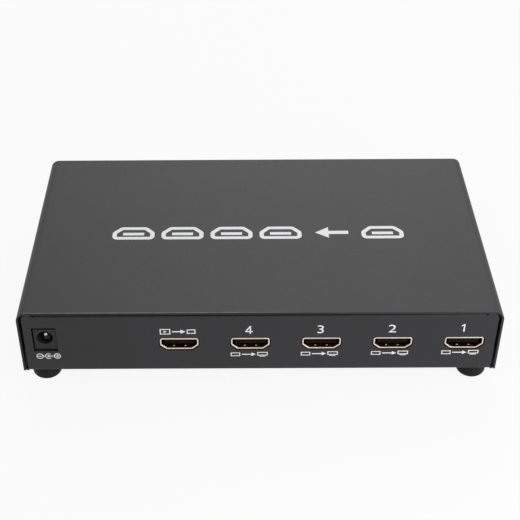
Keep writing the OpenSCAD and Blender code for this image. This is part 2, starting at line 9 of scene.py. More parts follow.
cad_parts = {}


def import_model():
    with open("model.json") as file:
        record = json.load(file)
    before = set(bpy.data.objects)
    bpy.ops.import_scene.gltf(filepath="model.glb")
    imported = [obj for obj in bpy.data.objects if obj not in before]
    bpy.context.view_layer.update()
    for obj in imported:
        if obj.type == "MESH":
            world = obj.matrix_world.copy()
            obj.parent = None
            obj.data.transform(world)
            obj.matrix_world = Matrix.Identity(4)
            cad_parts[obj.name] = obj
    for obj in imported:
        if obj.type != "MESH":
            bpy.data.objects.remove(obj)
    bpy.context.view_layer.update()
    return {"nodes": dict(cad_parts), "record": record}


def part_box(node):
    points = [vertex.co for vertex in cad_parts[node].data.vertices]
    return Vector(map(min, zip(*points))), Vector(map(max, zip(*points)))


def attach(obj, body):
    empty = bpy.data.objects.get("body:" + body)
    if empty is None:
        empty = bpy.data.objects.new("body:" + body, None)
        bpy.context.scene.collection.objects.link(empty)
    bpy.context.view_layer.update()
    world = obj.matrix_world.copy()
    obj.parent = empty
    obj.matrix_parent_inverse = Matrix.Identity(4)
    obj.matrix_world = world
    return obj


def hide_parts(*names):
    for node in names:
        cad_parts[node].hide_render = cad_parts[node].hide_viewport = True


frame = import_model()

# Sheet of the cover and the gap under it, in millimetres
COVER_T = 0.8
COVER_GAP = 0.8

# Main planes and places, in metres, taken from the solids
MM = 0.001
cover_low, cover_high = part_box("top_cover")
base_low, base_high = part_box("base_chassis")
PANEL_Y = base_low.y
FAR_PANEL_Y = base_high.y
UNDERSIDE_Z = base_low.z
NEAR_EDGE_Y = cover_low.y
TOP_Z = cover_high.z
BEND_TOP_Z = TOP_Z - (COVER_T + COVER_GAP) * MM
MOUTH_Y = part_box("input_socket_shell")[0].y
OUTPUTS = 4
SOCKETS = ["output_1", "output_2", "output_3", "output_4", "input"]
FEET = ["foot_rear_left", "foot_rear_right", "foot_front_left", "foot_front_right"]
LAMPS = ["power_lamp", "output_1_lamp", "output_2_lamp", "output_3_lamp", "output_4_lamp"]

# Camera, fitted to the edges of the casing: its place is in millimetres from the middle of the underside,
# its turn is in degrees, and its shift is a share of the picture's width
CAMERA_AT = (-7.73, -372.68, 305.99)
CAMERA_TURN = (51.898, 0.426, 0.095)
CAMERA_LENS = 76.65
CAMERA_SHIFT = 0.0526
SENSOR_WIDTH = 36.0

# Light and floor: strength of the even light, half of the floor's width in metres, the floor's colour,
# and the share of its white that shadows don't reach
EVEN_LIGHT = 0.47
FLOOR_HALF_W = 3.0
FLOOR_COLOUR = (0.85, 0.85, 0.85)
FLOOR_GLOW = 0.9

# Edges: widths in millimetres, and the distance in metres at which points are joined
WELD = 1e-6
FLAT_ANGLE = math.radians(0.5)
EDGE_ANGLE = math.radians(35)
COVER_EDGE = 0.15
SHEET_EDGE = 0.12
SHELL_EDGE = 0.06
PLASTIC_EDGE = 0.15
SCREW_EDGE = 0.1
PIN_TIP_R = 0.6

# Coat: colours, and fades in millimetres from where a change of colour starts to where it is full. Laid over
# the coat are a painted highlight on the cover's near edge, and painted shade on the cover's cut edge and on
# the panel's bend beneath it
COVER_COLOUR = (0.0262, 0.0252, 0.0276)
PANEL_COLOUR = (0.0208, 0.0201, 0.0222)
# Painted highlight: a lighter, patchy line on the left part of the cover's near top edge, in place of a
# lamp's glint
EDGE_GLINT_COLOUR = (0.1, 0.1, 0.103)
# Painted shade: the cover's cut edge, darker on all but the right end
CUT_EDGE_SHADE_COLOUR = (0.007, 0.007, 0.0075)
# Painted shade: the top of the panel's bend under the cover, darker on all but the ends
BEND_SHADE_COLOUR = (0.003, 0.003, 0.0032)
GLINT_FROM_EDGE = (0.85, 0.6)
GLINT_FROM_TOP = (-0.12, -0.03)
GLINT_X = (16, -12)
CUT_EDGE_SHADE_FROM_EDGE = (0.14, 0.06)
BEND_FROM_PANEL = (3, 2)
BEND_FROM_TOP = (-0.9, -0.4)
BEND_LEFT_X = (-89, -88)
PAINTED_SHADE_X = (85, 10)

# Range that holds most values of a noise texture
NOISE_LOW = 0.3
NOISE_HIGH = 0.7

# Video socket, in millimetres: width, height, lower width, height of the sloped corners and their radius
OPENING = (14.0, 4.55, 9.7, 1.8, 0.55)
SHELL_T = 0.4
# Depth in millimetres from a socket's mouth to where its plating is fully darkened by painted shade
MOUTH_SHADE_DEPTH = 0.9

# Print, in millimetres: heights are above the casing's underside, and the rows climb a little to the right
INK_T = 0.02
INK_WELD = 1e-4
DIGIT_H = 3.95
DIGIT_Z = 19.48
DIGIT_X = -0.68
DIGIT_PITCH = 27.63
OUTPUT_SIGN_Z = 7.58
OUTPUT_SIGN_X = -0.78
OUTPUT_SIGN_PITCH = 27.52
PRINT_RISE = 0.2
INPUT_SIGN_Z = 18.9
INPUT_SIGN_X = -0.36
POLARITY_Z = 7.87
POLARITY_X = 0.6
TOP_SIGN_X = 0.55
TOP_SIGN_Y = -2.4
LAMP_DIGIT_H = 2.4
LAMP_PRINT_UP = 3.4

# Digits of the built-in font: how much wider they are drawn, and their height as a share of the font's size
DIGIT_SPREAD = 1.2
FONT_DIGIT_SHARE = 0.695


def middle(node):
    """Middle of a solid's box."""
    low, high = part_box(node)
    return (low + high) / 2


# Finishes


def new_finish(name, roughness, metallic=0.0, specular=0.5):
    """A material with a principled shader: returns the material, its node tree and the shader."""
    material = bpy.data.materials.new(name)
    material.use_nodes = True
    tree = material.node_tree
    shader = tree.nodes["Principled BSDF"]
    shader.inputs["Roughness"].default_value = roughness
    shader.inputs["Metallic"].default_value = metallic
    shader.inputs["Specular IOR Level"].default_value = specular
    return material, tree, shader


def noise(tree, size, detail=2.0, stretch=(1, 1, 1)):
    """Noise in the part's own frame. Size is a blotch's width in millimetres, and stretch lengthens it."""
    where = tree.nodes.new("ShaderNodeTexCoord")
    spread = tree.nodes.new("ShaderNodeMapping")
    spread.inputs["Scale"].default_value = [1 / (size * MM * s) for s in stretch]
    texture = tree.nodes.new("ShaderNodeTexNoise")
    texture.inputs["Scale"].default_value = 1
    texture.inputs["Detail"].default_value = detail
    tree.links.new(where.outputs["Object"], spread.inputs["Vector"])
    tree.links.new(spread.outputs["Vector"], texture.inputs["Vector"])
    return texture.outputs["Fac"]


def vary(tree, factor, socket, low, high):
    """Spreads a noise factor over a range and feeds it to a number socket."""
    spread = tree.nodes.new("ShaderNodeMapRange")
    spread.inputs["From Min"].default_value = NOISE_LOW
    spread.inputs["From Max"].default_value = NOISE_HIGH
    spread.inputs["To Min"].default_value = low
    spread.inputs["To Max"].default_value = high
    tree.links.new(factor, spread.inputs["Value"])
    tree.links.new(spread.outputs["Result"], socket)


def blotch(tree, factor, socket, dark, light):
    """Runs a noise factor between two colours and feeds it to a colour socket."""
    ramp = tree.nodes.new("ShaderNodeValToRGB")
    ramp.color_ramp.elements[0].position = NOISE_LOW
    ramp.color_ramp.elements[0].color = (*dark, 1)
    ramp.color_ramp.elements[1].position = NOISE_HIGH
    ramp.color_ramp.elements[1].color = (*light, 1)
    tree.links.new(factor, ramp.inputs["Fac"])
    tree.links.new(ramp.outputs["Color"], socket)


def relief(tree, shader, factor, depth, strength):
    """Small relief of the given depth, in millimetres."""
    bump = tree.nodes.new("ShaderNodeBump")
    bump.inputs["Strength"].default_value = strength
    bump.inputs["Distance"].default_value = depth * MM
    tree.links.new(factor, bump.inputs["Height"])
    tree.links.new(bump.outputs["Normal"], shader.inputs["Normal"])


def shades(colour, spread):
    """A darker and a lighter shade of one colour."""
    return [c * (1 - spread) for c in colour], [c * (1 + spread) for c in colour]


def powder_coat(name, colour):
    """Matt coat with a fine grain and faint clouds."""
    material, tree, shader = new_finish(name, roughness=0.5, specular=0.35)
    clouds = noise(tree, size=30, detail=3)
    blotch(tree, clouds, shader.inputs["Base Color"], *shades(colour, spread=0.06))
    grain = noise(tree, size=0.45, detail=4)
    vary(tree, grain, shader.inputs["Roughness"], low=0.46, high=0.62)
    relief(tree, shader, grain, depth=0.03, strength=0.35)
    return material


def ramp_between(tree, value, start, end):
    """0 at one value, 1 at the other, and a straight ramp between them."""
    ramp = tree.nodes.new("ShaderNodeMapRange")
    ramp.inputs["From Min"].default_value = start
    ramp.inputs["From Max"].default_value = end
    tree.links.new(value, ramp.inputs["Value"])
    return ramp.outputs["Result"]


def combined(tree, operation, factors):
    """Several factors joined by one math operation, such as MULTIPLY."""
    total = factors[0]
    for factor in factors[1:]:
        step = tree.nodes.new("ShaderNodeMath")
        step.operation = operation
        tree.links.new(total, step.inputs[0])
        tree.links.new(factor, step.inputs[1])
        total = step.outputs["Value"]
    return total


def mix_over(tree, shader, colour, factor):
    """Lays a second colour over the shader's base colour, where the factor is 1."""
    under = shader.inputs["Base Color"].links[0].from_socket
    mix = tree.nodes.new("ShaderNodeMix")
    mix.data_type = "RGBA"
    mix.inputs["B"].default_value = (*colour, 1)
    tree.links.new(factor, mix.inputs["Factor"])
    tree.links.new(under, mix.inputs["A"])
    tree.links.new(mix.outputs["Result"], shader.inputs["Base Color"])


def part_axes(tree):
    """Place on the part, as separate x, y and z."""
    where = tree.nodes.new("ShaderNodeTexCoord")
    axes = tree.nodes.new("ShaderNodeSeparateXYZ")
    tree.links.new(where.outputs["Object"], axes.inputs["Vector"])
    return axes.outputs


def fade(axis, base, distances):
    """A ramp for tint_where, between two distances in millimetres from a base in metres."""
    start, end = distances
    return axis, base + start * MM, base + end * MM


def tint_where(material, colour, ramps, patchy=False):
    """Lays a colour over a material where all ramps are at 1. A ramp is an axis, its start and its end."""
    tree = material.node_tree
    axes = part_axes(tree)
    factors = [ramp_between(tree, axes[axis], start, end) for axis, start, end in ramps]
    if patchy:
        patches = noise(tree, size=3, detail=3)
        factors.append(ramp_between(tree, patches, start=0.2, end=0.55))
    mix_over(tree, tree.nodes["Principled BSDF"], colour, combined(tree, "MULTIPLY", factors))


def cover_paint(name):
    """Powder coat with a patchy painted highlight along the near edge beside the jack, and painted shade on
    the cut edge below.
    """
    material = powder_coat(name, COVER_COLOUR)
    # Painted highlight along the near top edge
    glint = [
        fade("Y", NEAR_EDGE_Y, GLINT_FROM_EDGE),
        fade("Z", TOP_Z, GLINT_FROM_TOP),
        fade("X", 0, GLINT_X),
    ]
    tint_where(material, EDGE_GLINT_COLOUR, glint, patchy=True)
    # Painted shade on the cut edge
    cut_edge_shade = [
        fade("Y", NEAR_EDGE_Y, CUT_EDGE_SHADE_FROM_EDGE),
        fade("X", 0, PAINTED_SHADE_X),
    ]
    tint_where(material, CUT_EDGE_SHADE_COLOUR, cut_edge_shade)
    return material


def panel_paint(name):
    """Powder coat with painted shade on the bend that hides under the cover's near edge."""
    material = powder_coat(name, PANEL_COLOUR)
    # Painted shade on the bend under the cover's near edge
    bend_shade = [
        fade("Y", PANEL_Y, BEND_FROM_PANEL),
        fade("Z", BEND_TOP_Z, BEND_FROM_TOP),
        fade("X", 0, BEND_LEFT_X),
        fade("X", 0, PAINTED_SHADE_X),
    ]
    tint_where(material, BEND_SHADE_COLOUR, bend_shade)
    return material


def moulded(name, colour, roughness, grain_size=0.3, specular=0.5):
    """Moulded or sintered stuff with a fine spark-eroded grain."""
    material, tree, shader = new_finish(name, roughness, specular=specular)
    clouds = noise(tree, size=4, detail=3)
    blotch(tree, clouds, shader.inputs["Base Color"], *shades(colour, spread=0.15))
    grain = noise(tree, grain_size, detail=3)
    vary(tree, grain, shader.inputs["Roughness"], low=roughness - 0.07, high=roughness + 0.07)
    relief(tree, shader, grain, depth=0.015, strength=0.4)
    return material


def metal(name, colour, roughness, stretch=(1, 1, 1)):
    """Bare or plated metal with faint drawing marks along the stretched direction."""
    material, tree, shader = new_finish(name, roughness, metallic=1.0)
    clouds = noise(tree, size=2.5, detail=3)
    blotch(tree, clouds, shader.inputs["Base Color"], *shades(colour, spread=0.07))
    marks = noise(tree, size=0.12, detail=3, stretch=stretch)
    vary(tree, marks, shader.inputs["Roughness"], low=roughness - 0.06, high=roughness + 0.08)
    relief(tree, shader, marks, depth=0.004, strength=0.5)
    return material


def plated_mouth(name, colour, inner_shade_colour, roughness):
    """Bright plating on the mouth of a socket, with painted shade that darkens it further in."""
    material = metal(name, colour, roughness, stretch=(1, 12, 1))
    tint_where(material, inner_shade_colour, [fade("Y", MOUTH_Y, (MOUTH_SHADE_DEPTH / 3, MOUTH_SHADE_DEPTH))])
    return material


def solder_resist(name, colour):
    """Green board with copper tracks that show through as lighter lines."""
    material, tree, shader = new_finish(name, roughness=0.35)
    track_cell = 6
    dark = shades(colour, spread=0.15)[0]
    light = shades(colour, spread=0.5)[1]
    where = tree.nodes.new("ShaderNodeTexCoord")
    tracks = tree.nodes.new("ShaderNodeTexBrick")
    tracks.inputs["Color1"].default_value = (*colour, 1)
    tracks.inputs["Color2"].default_value = (*dark, 1)
    tracks.inputs["Mortar"].default_value = (*light, 1)
    tracks.inputs["Scale"].default_value = 1 / (track_cell * MM)
    tracks.inputs["Mortar Size"].default_value = 0.03
    tree.links.new(where.outputs["Object"], tracks.inputs["Vector"])
    tree.links.new(tracks.outputs["Color"], shader.inputs["Base Color"])
    vary(tree, noise(tree, size=1.5), shader.inputs["Roughness"], low=0.28, high=0.42)
    return material


def lens(name, colour):
    """Tinted clear plastic, slightly cloudy."""
    material, tree, shader = new_finish(name, roughness=0.15)
    blotch(tree, noise(tree, size=1.2), shader.inputs["Base Color"], *shades(colour, spread=0.1))
    vary(tree, noise(tree, size=0.5), shader.inputs["Roughness"], low=0.12, high=0.2)
    shader.inputs["Transmission Weight"].default_value = 0.35
    shader.inputs["IOR"].default_value = 1.5
    return material


def ink(name):
    """Screen-printed white ink with a slightly uneven cover."""
    material, tree, shader = new_finish(name, roughness=0.5, specular=0.3)
    thin = (0.82, 0.82, 0.83)
    full = (0.9, 0.9, 0.9)
    blotch(tree, noise(tree, size=0.6, detail=3), shader.inputs["Base Color"], thin, full)
    vary(tree, noise(tree, size=0.2), shader.inputs["Roughness"], low=0.42, high=0.58)
    return material


FINISHES = {
    "cover_paint": cover_paint("cover_paint"),
    "panel_paint": panel_paint("panel_paint"),
    "black_screw": metal("black_screw", (0.05, 0.05, 0.053), roughness=0.42),
    "foot_rubber": moulded(
        "foot_rubber", (0.015, 0.015, 0.0155), roughness=0.57, grain_size=0.5, specular=0.09),
    "adhesive": moulded("adhesive", (0.14, 0.13, 0.11), roughness=0.4),
    "circuit_board": solder_resist("circuit_board", (0.008, 0.026, 0.014)),
    "standoff_brass": metal("standoff_brass", (0.6, 0.45, 0.2), roughness=0.3),
    "plain_steel": metal("plain_steel", (0.55, 0.55, 0.56), roughness=0.3),
    # The second colour is painted shade that darkens the inside of the sockets' shells
    "gold_plate": plated_mouth("gold_plate", (0.87, 0.725, 0.585), (0.25, 0.195, 0.155), roughness=0.3),
    "socket_plastic": moulded("socket_plastic", (0.008, 0.0038, 0.0014), roughness=0.5, specular=0.05),
    "jack_plastic": moulded("jack_plastic", (0.014, 0.014, 0.015), roughness=0.45, specular=0.28),
    "nickel_plate": metal("nickel_plate", (0.6, 0.58, 0.55), roughness=0.3, stretch=(1, 8, 1)),
    # Spring metal darkened far below bronze's own colour: painted shade in the recesses where the springs sit
    "spring_bronze": metal("spring_bronze", (0.048, 0.042, 0.035), roughness=0.45, stretch=(1, 8, 1)),
    "chip_plastic": moulded("chip_plastic", (0.015, 0.015, 0.016), roughness=0.5),
    "tinned_lead": metal("tinned_lead", (0.6, 0.6, 0.61), roughness=0.35),
    "ferrite": moulded("ferrite", (0.06, 0.06, 0.065), roughness=0.6),
    "can_aluminium": metal("can_aluminium", (0.65, 0.65, 0.66), roughness=0.3, stretch=(1, 1, 10)),
    "resistor_black": moulded("resistor_black", (0.02, 0.02, 0.022), roughness=0.3),
    "ceramic_tan": moulded("ceramic_tan", (0.36, 0.27, 0.16), roughness=0.5),
    "red_lens": lens("red_lens", (0.5, 0.035, 0.025)),
    "green_lens": lens("green_lens", (0.06, 0.36, 0.09)),
}
INK = ink("print_ink")
SLOT_OF = {part["node"]: part["material_slot"] for part in frame["record"]["subparts"]}


def paint(piece, material):
    """Gives a piece one material."""
    piece.data.materials.clear()
    piece.data.materials.append(material)


def dress_solids():
    """Gives every solid the finish of its slot in the record."""
    for node, slot in SLOT_OF.items():
        paint(frame["nodes"][node], FINISHES[slot])


# Mesh helpers


def new_piece(name, mesh, slot=None, stands_for=()):
    """Adds a mesh as a piece of the casing, with a finish of the record or else print ink."""
    piece = bpy.data.objects.new(name, mesh)
    bpy.context.scene.collection.objects.link(piece)
    paint(piece, FINISHES[slot] if slot else INK)
    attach(piece, "case")
    if stands_for:
        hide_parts(*stands_for)
    return piece


def mesh_from(build, name):
    """Turns a bmesh into a mesh with its faces pointing out, shaded smooth but for its edges."""
    bmesh.ops.recalc_face_normals(build, faces=build.faces)
    mesh = bpy.data.meshes.new(name)
    build.to_mesh(mesh)
    build.free()
    if "custom_normal" in mesh.attributes:
        mesh.attributes.remove(mesh.attributes["custom_normal"])
    mesh.shade_smooth()
    mesh.set_sharp_from_angle(angle=EDGE_ANGLE)
    return mesh


def welded(node):
    """Copy of a solid's mesh as a bmesh, with its flat areas joined."""
    build = bmesh.new()
    build.from_mesh(frame["nodes"][node].data)
    bmesh.ops.remove_doubles(build, verts=build.verts, dist=WELD)
    bmesh.ops.dissolve_limit(build, angle_limit=FLAT_ANGLE, verts=build.verts, edges=build.edges)
    return build


def softened(node, name, edge, segments=2):
    """A piece with a solid's shape and rounded edges, in place of that solid."""
    piece = new_piece(name, mesh_from(welded(node), name), SLOT_OF[node], [node])
    bevel = piece.modifiers.new("edges", "BEVEL")
    bevel.width = edge * MM
    bevel.segments = segments
    bevel.limit_method = "ANGLE"
    bevel.angle_limit = EDGE_ANGLE
    bevel.harden_normals = True


def rings_mesh(rings, name, closed):
    """Skin through rings with equal numbers of points. A closed skin joins its last ring to its first."""
    build = bmesh.new()
    loops = [[build.verts.new(p) for p in ring] for ring in rings]
    pairs = list(zip(loops, loops[1:]))
    if closed:
        pairs.append((loops[-1], loops[0]))
    for low, high in pairs:
        for i in range(len(low)):
            j = (i + 1) % len(low)
            build.faces.new((low[i], low[j], high[j], high[i]))
    if not closed:
        build.faces.new(loops[0])
        build.faces.new(loops[-1])
    return mesh_from(build, name)


def arc(centre, radius, start, end, steps):
    """Points on an arc, from one angle to another in degrees."""
    angles = [math.radians(start + (end - start) * k / steps) for k in range(steps + 1)]
    return [(centre[0] + radius * math.cos(a), centre[1] + radius * math.sin(a)) for a in angles]


def full_turn(steps):
    """Angles of evenly spaced points on a circle."""
    return [2 * math.pi * k / steps for k in range(steps)]


# Casing


def casing():
    """Cover, base and side screws with soft edges."""
    softened("top_cover", "cover_shell", COVER_EDGE, segments=3)
    softened("base_chassis", "chassis_shell", SHEET_EDGE)
    softened("cover_screws", "cover_screw_heads", SCREW_EDGE)


def paint_bead(name, x, y):
    """Long bead of the panel's coat on the underside's level, rounded at both ends: painted shade that hides
    the lit floor seen through a slit.
    """
    length = 2.2
    across = 0.75
    high = 1.1
    sides = 12
    z = UNDERSIDE_Z + high / 2 * MM
    rings = []
    for along, swell in arc((0, 0), 1, start=170, end=10, steps=8):
        half_w = across / 2 * MM * swell
        half_h = high / 2 * MM * swell
        ring_y = y + length / 2 * MM * along
        rings.append([(x + half_w * math.cos(a), ring_y, z + half_h * math.sin(a)) for a in full_turn(sides)])
    new_piece(name, rings_mesh(rings, "paint_bead", closed=False), "panel_paint")


def paint_beads():
    """Beads that close the slit between each side flange's bend and the cover, near both ends: painted shade
    where the real slit shows only shadow.
    """
    from_cover = 0.425
    from_panel = 2.1
    x = cover_high.x - (COVER_T + from_cover) * MM
    y = base_high.y - from_panel * MM
    for side, side_name in ((-1, "left"), (1, "right")):
        for end, end_name in ((-1, "near"), (1, "far")):
            # Each bead is painted shade, a dark piece put where there is only shadow
            paint_bead(f"paint_bead_{end_name}_{side_name}", side * x, end * y)


def feet():
    """Moulded rubber feet: a stub with a rounded lower edge, a small lip above and a cup in the sole."""
    low_round = 1.9
    taper = 0.15
    top_round = 0.3
    sides = 64
    cup_profile = [(1.6, 0.5), (2.0, 0.35), (2.3, 0.0)]
    for node in FEET:
        low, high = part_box(node)
        at = middle(node)
        r = (high.x - low.x) / 2 / MM
        h = (high.z - low.z) / MM
        low_centre = (r - taper - low_round, low_round)
        top_centre = (r - top_round, h - top_round)
        profile = cup_profile + arc(low_centre, low_round, start=-90, end=0, steps=14)
        profile += arc(top_centre, top_round, start=0, end=90, steps=5)
        rings = []
        for radius, z in profile:
            ring = [(at.x + radius * MM * math.cos(a), at.y + radius * MM * math.sin(a), low.z + z * MM)
                    for a in full_turn(sides)]
            rings.append(ring)
        new_piece(f"{node}_rubber", rings_mesh(rings, node, closed=False), "foot_rubber", [node])


# Video sockets


def opening_outline(grow, opening=OPENING, steps=6):
    """Outline of a socket's opening around its lower middle, grown on all sides, in millimetres."""
    w, h, base_w, slope_h, corner_r = opening
    corners = [
        (-base_w / 2, 0),
        (base_w / 2, 0),
        (w / 2, slope_h),
        (w / 2, h),
        (-w / 2, h),
        (-w / 2, slope_h),
    ]
    points = []
    for i, corner in enumerate(corners):
        here = Vector(corner)
        before = (here - Vector(corners[i - 1])).normalized()
        after = (Vector(corners[(i + 1) % len(corners)]) - here).normalized()
        half_turn = before.angle(after) / 2
        inwards = (after - before).normalized()
        centre = here + inwards * corner_r / math.cos(half_turn)
        start = math.degrees(math.atan2(-before.x, before.y))
        points += arc(centre, corner_r + grow, start, start + math.degrees(2 * half_turn), steps)
    return points


def socket_lip(socket):
    """Rounded lip around the mouth of a socket's shell, flared a little."""
    low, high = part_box(f"{socket}_socket_shell")
    x = (low.x + high.x) / 2
    z = high.z - (SHELL_T + OPENING[1]) * MM
    flare = 0.16
    inside = -0.04
    outside = SHELL_T + flare
    front = -0.05
    r = 0.16
    depth = 0.6
    profile = [(inside, depth)]
    profile += arc((inside + r, front + r), r, start=180, end=270, steps=4)
    profile += arc((outside - r, front + r), r, start=270, end=360, steps=4)
    profile += [(SHELL_T - inside, depth)]
    rings = [[(x + u * MM, low.y + back * MM, z + v * MM) for u, v in opening_outline(grow)]
             for grow, back in profile]
    new_piece(f"{socket}_socket_lip", rings_mesh(rings, "socket_lip", closed=True), "gold_plate")


def sockets():
    """Shells, insulators and lips of all five sockets."""
    for socket in SOCKETS:
        softened(f"{socket}_socket_shell", f"{socket}_plated_shell", SHELL_EDGE)
        softened(f"{socket}_socket_insulator", f"{socket}_moulded_insulator", SHELL_EDGE)
        socket_lip(socket)


# Power jack


def jack():
    """Jack body with soft edges, and its pin with a rounded tip."""
    softened("power_jack_body", "power_jack_housing", PLASTIC_EDGE, segments=3)
    build = welded("power_jack_pin")
    tip_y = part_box("power_jack_pin")[0].y
    tip = [e for e in build.edges if all(abs(v.co.y - tip_y) < WELD for v in e.verts)]
    bmesh.ops.bevel(build, geom=tip, offset=PIN_TIP_R * MM, segments=6, profile=0.5, affect="EDGES")
    new_piece("power_jack_pin_turned", mesh_from(build, "pin"), "nickel_plate", ["power_jack_pin"])


# Shapes of the print: lists of polygons in millimetres


def bar(u, v, w, h):
    """Rectangle around its middle."""
    left, right = u - w / 2, u + w / 2
    low, high = v - h / 2, v + h / 2
    return [[(left, low), (right, low), (right, high), (left, high)]]


def strip(outer, inner):
    """Band between two closed outlines with equal numbers of points."""
    n = len(outer)
    return [[outer[i], outer[(i + 1) % n], inner[(i + 1) % n], inner[i]] for i in range(n)]


def box_sign(u, v, w, h, t):
    """Rectangle drawn as a line of thickness t."""
    return strip(bar(u, v, w, h)[0], bar(u, v, w - 2 * t, h - 2 * t)[0])


def arc_sign(u, v, r, t, start=0, end=360):
    """Circle or arc drawn as a line of thickness t."""
    steps = 32
    outer = arc((u, v), r, start, end, steps)
    inner = arc((u, v), r - t, start, end, steps)
    return [[outer[i], outer[i + 1], inner[i + 1], inner[i]] for i in range(steps)]


def dot_on_line(r, end, t):
    """Dot at the origin with a line of thickness t that runs from it to the right, as one outline."""
    half_gap = math.degrees(math.asin(t / 2 / r))
    dot = arc((0, 0), r, half_gap, 360 - half_gap, steps=24)
    return [dot + [(end, -t / 2), (end, t / 2)]]


def cross(u, v, size, t):
    """Plus sign as one outline."""
    a, b = size / 2, t / 2
    corners = [
        (a, -b), (a, b), (b, b),
        (b, a), (-b, a), (-b, b),
        (-a, b), (-a, -b), (-b, -b),
        (-b, -a), (b, -a), (b, -b),
    ]
    return [[(u + p, v + q) for p, q in corners]]


def arrow(start, end, v, t, head_l, head_h):
    """Arrow pointing right, with a shaft of thickness t."""
    neck = end - head_l
    return [[(start, v - t / 2), (neck, v - t / 2), (neck, v - head_h / 2), (end, v),
             (neck, v + head_h / 2), (neck, v + t / 2), (start, v + t / 2)]]


def socket_sign(u, w, h, t):
    """Sign for a video socket: its outline, drawn as a line of thickness t, and its tongue."""
    lower_w = 0.72 * w
    slope_h = 0.3 * h
    corner_r = 0.4
    tongue_v = 0.06 * h
    opening = (w - 2 * t, h - 2 * t, lower_w - 2 * t, slope_h, corner_r)
    outer, inner = [
        [(u + p, q - h / 2 + t) for p, q in opening_outline(grow, opening)]
        for grow in (t, 0)
    ]
    return strip(outer, inner) + bar(u, tongue_v, w / 2, t)


def figure_one(h):
    """Figure 1 of the given height: a stem with a flag on its left."""
    stem = 0.07 * h
    flag = 0.27 * h
    flag_low = 0.68 * h
    flag_high = 0.82 * h
    notch = 0.79 * h
    return [[(-stem, 0), (stem, 0), (stem, h), (0, h), (-flag, flag_high), (-flag, flag_low), (-stem, notch)]]


def figure_four(h):
    """Figure 4 of the given height: a stem, a bar across it and a slope down to the bar's left end."""
    line = 0.13 * h
    half_w = 0.36 * h
    stem = 0.06 * h
    stem_end = stem + line
    bar_low = 0.22 * h
    bar_high = bar_low + line
    run = stem + half_w
    rise = h - bar_high
    inner = -half_w + line * math.hypot(run, rise) / rise
    peak = bar_high + (stem - inner) * rise / run
    return [
        [(stem, 0), (stem_end, 0), (stem_end, bar_low), (stem, bar_low)],
        [(-half_w, bar_low), (stem, bar_low), (stem_end, bar_low), (half_w, bar_low), (half_w, bar_high),
         (stem_end, bar_high), (stem, bar_high), (inner, bar_high), (-half_w, bar_high)],
        [(stem, bar_high), (stem_end, bar_high), (stem_end, h), (stem, h), (stem, peak)],
        [(-half_w, bar_high), (inner, bar_high), (stem, peak), (stem, h)],
    ]


def outgoing_sign():
    """Sign for an output: a box, an arrow and a screen on its foot."""
    line = 0.38
    box = box_sign(u=-5.4, v=1.1, w=3.7, h=1.9, t=line)
    pointer = arrow(start=-2.9, end=2.6, v=1.1, t=0.5, head_l=1.7, head_h=1.9)
    screen = box_sign(u=5.2, v=1.35, w=4.1, h=1.8, t=line)
    foot = bar(u=5.2, v=0.1, w=2.4, h=0.36)
    return box + pointer + screen + foot


def incoming_sign():
    """Sign for the input: a player, an arrow and a box."""
    line = 0.42
    player = box_sign(u=-4.9, v=1.5, w=4.1, h=2.8, t=line)
    play = [[(-5.5, 0.9), (-4.2, 1.5), (-5.5, 2.1)]]
    pointer = arrow(start=-2.2, end=3.0, v=1.5, t=0.55, head_l=1.9, head_h=2.2)
    box = box_sign(u=5.2, v=1.5, w=3.4, h=2.2, t=line)
    return player + play + pointer + box


def polarity_sign():
    """Sign for the power jack: minus on the sleeve and plus on the pin."""
    line = 0.36
    r = 1.4
    side = 3.4
    dot_r = 0.46
    minus = arc_sign(-side, 0, r, line) + bar(-side, 0, r, line) + bar(-side / 2, 0, side - 2 * r, line)
    plug = arc_sign(0, 0, r, line, start=50, end=310) + dot_on_line(dot_r, side - r, line)
    plus = arc_sign(side, 0, r, line) + cross(side, 0, 1.1 * r, line)
    return minus + plug + plus


def one_to_four_sign():
    """Sign for the cover: one socket, an arrow and four sockets."""
    w = 17.5
    h = 8.5
    line = 1.8
    pitch = 20.4
    first_u = -51.4
    last_u = 52.2
    sign = socket_sign(first_u, w, h, line)
    sign += arrow(start=-37.2, end=-23.4, v=0, t=2.2, head_l=5.6, head_h=7.4)
    for k in range(OUTPUTS):
        sign += socket_sign(last_u - pitch * k, w, h, line)
    return sign


def power_sign():
    """Sign for the power lamp: an open ring and a stroke."""
    line = 0.34
    return arc_sign(0, 1.2, 1.3, line, start=125, end=415) + bar(u=0, v=1.9, w=line, h=1.6)


# Print on the casing


def on_panel(x, z):
    """Place on the connector panel: u runs to the right and v upwards."""
    return Matrix(((MM, 0, 0, x), (0, 0, -MM, PANEL_Y), (0, MM, 0, z), (0, 0, 0, 1)))


def on_far_panel(x, z):
    """Place on the far panel, read from the far side."""
    return Matrix(((-MM, 0, 0, x), (0, 0, MM, FAR_PANEL_Y), (0, MM, 0, z), (0, 0, 0, 1)))


def on_top(x, y):
    """Place on the cover's top, read from the far side."""
    return Matrix(((-MM, 0, 0, x), (0, -MM, 0, y), (0, 0, MM, TOP_Z), (0, 0, 0, 1)))


def printed(name, polygons, place):
    """Thin layer of ink with the given outlines."""
    build = bmesh.new()
    for polygon in polygons:
        build.faces.new([build.verts.new((u, v, 0)) for u, v in polygon])
    bmesh.ops.remove_doubles(build, verts=build.verts, dist=INK_WELD)
    grown = bmesh.ops.extrude_face_region(build, geom=build.faces[:], use_keep_orig=True)
    raised = [g for g in grown["geom"] if isinstance(g, bmesh.types.BMVert)]
    bmesh.ops.translate(build, verts=raised, vec=(0, 0, INK_T))
    bmesh.ops.transform(build, matrix=place, verts=build.verts)
    new_piece(name, mesh_from(build, name))


